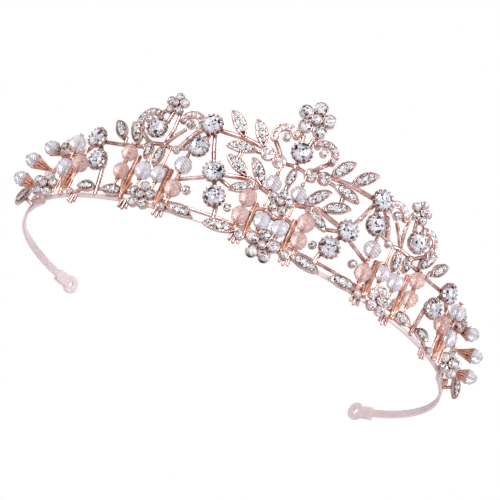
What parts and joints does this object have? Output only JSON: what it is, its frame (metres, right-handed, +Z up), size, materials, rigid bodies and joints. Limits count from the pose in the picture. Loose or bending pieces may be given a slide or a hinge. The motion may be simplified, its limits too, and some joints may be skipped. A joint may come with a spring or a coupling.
{
  "type": "bridal tiara",
  "caption": "Curved headband tiara with filigree stems, pave leaves and scrolls, claw-set crystals, stone flowers and threaded beads, ending in pierced loops.",
  "frame": {"origin": "centre of the tiara's footprint, on the surface that it stands on", "axes": "+X towards the wearer's right-hand end of the picture, -Y towards the front, +Z up"},
  "size_m": [0.151, 0.1145, 0.0512],
  "materials": {
    "band_metal": "satin pale rose plate",
    "rose_gold": "polished rose gold plate",
    "crystal": "faceted foiled crystal",
    "small_stone": "faceted pave stone",
    "clear_bead": "faceted clear bead",
    "peach_bead": "frosted peach bead"
  },
  "bodies": {
    "root": {"headband": "band_metal", "left_end_loop": "band_metal", "right_end_loop": "band_metal", "upper_rail": "rose_gold", "centre_stems": "rose_gold", "left_inner_stems": "rose_gold", "right_inner_stems": "rose_gold", "left_side_stems": "rose_gold", "right_side_stems": "rose_gold", "left_outer_stems": "rose_gold", "right_outer_stems": "rose_gold", "centre_leaf": "rose_gold", "left_inner_leaves": "rose_gold", "right_inner_leaves": "rose_gold", "left_side_leaves": "rose_gold", "right_side_leaves": "rose_gold", "left_border_leaves": "rose_gold", "right_border_leaves": "rose_gold", "left_centre_scroll": "rose_gold", "right_centre_scroll": "rose_gold", "left_side_scrolls": "rose_gold", "right_side_scrolls": "rose_gold", "top_flower_setting": "rose_gold", "middle_flower_setting": "rose_gold", "front_flower_setting": "rose_gold", "left_side_flower_setting": "rose_gold", "right_side_flower_setting": "rose_gold", "left_band_flower_setting": "rose_gold", "right_band_flower_setting": "rose_gold", "left_end_flower_settings": "rose_gold", "right_end_flower_settings": "rose_gold", "centre_flower_stones": "small_stone", "left_flower_stones": "small_stone", "right_flower_stones": "small_stone", "centre_claw_cup": "rose_gold", "left_claw_cups": "rose_gold", "right_claw_cups": "rose_gold", "centre_crystal": "crystal", "left_crystals": "crystal", "right_crystals": "crystal", "left_small_bezels": "rose_gold", "right_small_bezels": "rose_gold", "left_small_stones": "small_stone", "right_small_stones": "small_stone", "centre_pave_stones": "small_stone", "left_pave_stones": "small_stone", "right_pave_stones": "small_stone", "left_bead_wires": "rose_gold", "right_bead_wires": "rose_gold", "left_bell_caps": "rose_gold", "right_bell_caps": "rose_gold", "left_clear_beads": "clear_bead", "right_clear_beads": "clear_bead", "left_peach_beads": "peach_bead", "right_peach_beads": "peach_bead"},
    "left_drop_bead_body": {"left_drop_bead": "clear_bead"},
    "right_drop_bead_body": {"right_drop_bead": "clear_bead"},
    "left_striped_bead_body": {"left_striped_bead": "clear_bead"},
    "right_striped_bead_body": {"right_striped_bead": "clear_bead"}
  },
  "joints": [
    {"name": "left_drop_bead_spin", "type": "hinge", "parent": "root", "child": "left_drop_bead_body", "pos_m": [-0.00376, -0.0547, 0.02264], "axis": [0, 0, 1], "continuous": true},
    {"name": "right_drop_bead_spin", "type": "hinge", "parent": "root", "child": "right_drop_bead_body", "pos_m": [0.00376, -0.0547, 0.02264], "axis": [0, 0, 1], "continuous": true},
    {"name": "left_striped_bead_spin", "type": "hinge", "parent": "root", "child": "left_striped_bead_body", "pos_m": [-0.02888, -0.04886, 0.01889], "axis": [0, 0, 1], "continuous": true},
    {"name": "right_striped_bead_spin", "type": "hinge", "parent": "root", "child": "right_striped_bead_body", "pos_m": [0.02888, -0.04886, 0.01889], "axis": [0, 0, 1], "continuous": true}
  ]
}
